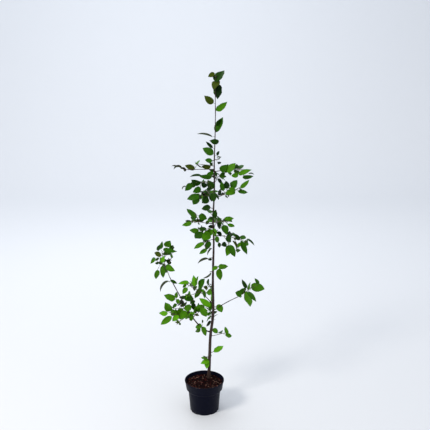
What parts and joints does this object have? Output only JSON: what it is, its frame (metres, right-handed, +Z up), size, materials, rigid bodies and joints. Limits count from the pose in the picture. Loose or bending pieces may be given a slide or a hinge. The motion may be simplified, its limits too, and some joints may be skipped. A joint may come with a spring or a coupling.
{
  "type": "potted european hornbeam",
  "caption": "Young upright broadleaf tree with a slender trunk, side boughs and sprays of toothed oval leaves, growing in a round nursery pot.",
  "frame": {"origin": "centre of the pot's flat underside", "axes": "+Z up along the trunk, +X to the right and +Y away from the camera in the picture"},
  "size_m": [0.4373, 0.273, 1.3523],
  "materials": {
    "pot": "injection-moulded black polypropylene, satin",
    "compost": "moist bark and peat compost, rough",
    "bark": "young hornbeam bark, smooth grey-brown to purple-brown",
    "leaf_bright": "young bright green leaves, satin",
    "leaf_mid": "mid green leaves, satin",
    "leaf_dark": "dark green inner leaves, satin",
    "leaf_olive": "olive green leaves of the leading shoot, satin"
  },
  "bodies": {
    "root": {"pot": "pot", "soil": "compost", "trunk": "bark", "bough_low_left": "bark", "bough_low_right": "bark", "bough_inner_left": "bark", "bough_mid_right": "bark", "bough_mid_left": "bark", "bough_right": "bark", "bough_upper_left": "bark", "bough_upper_right": "bark", "bough_top_left": "bark", "bough_back_mid": "bark", "bough_back_upper": "bark", "leaves_leader": "leaf_olive", "leaves_low_left_tuft": "leaf_bright", "leaves_low_right_leaf": "leaf_bright", "leaves_low_right_tuft": "leaf_mid", "leaves_low_front_pair": "leaf_bright", "leaves_low_left_foot": "leaf_mid", "leaves_low_left_outer": "leaf_bright", "leaves_low_left_inner": "leaf_mid", "leaves_low_left_upper": "leaf_dark", "leaves_low_left_curled": "leaf_mid", "leaves_low_left_tip": "leaf_mid", "leaves_inner_left": "leaf_mid", "leaves_inner_left_leaf": "leaf_bright", "leaves_low_right": "leaf_bright", "leaves_low_right_foot": "leaf_bright", "leaves_bare_left": "leaf_mid", "leaves_bare_left_upper": "leaf_mid", "leaves_bare_right": "leaf_mid", "leaves_mid_left_low": "leaf_mid", "leaves_mid_left_lower": "leaf_mid", "leaves_mid_left": "leaf_mid", "leaves_mid_left_upper": "leaf_mid", "leaves_mid_left_high": "leaf_mid", "leaves_upper_left": "leaf_mid", "leaves_upper_left_thin": "leaf_mid", "leaves_top_left": "leaf_mid", "leaves_top_left_upper": "leaf_mid", "leaves_top_left_leaf": "leaf_mid", "leaves_top_right": "leaf_mid", "leaves_upper_right": "leaf_mid", "leaves_right": "leaf_mid", "leaves_mid_right_front": "leaf_mid", "leaves_mid_right_upper": "leaf_mid", "leaves_mid_right": "leaf_mid", "leaves_back_low": "leaf_mid", "leaves_back_inner": "leaf_mid", "leaves_back_mid": "leaf_mid", "leaves_back_upper": "leaf_mid", "leaves_back_top": "leaf_mid", "leaves_front_mid": "leaf_mid", "leaves_front_upper": "leaf_mid"}
  },
  "joints": []
}
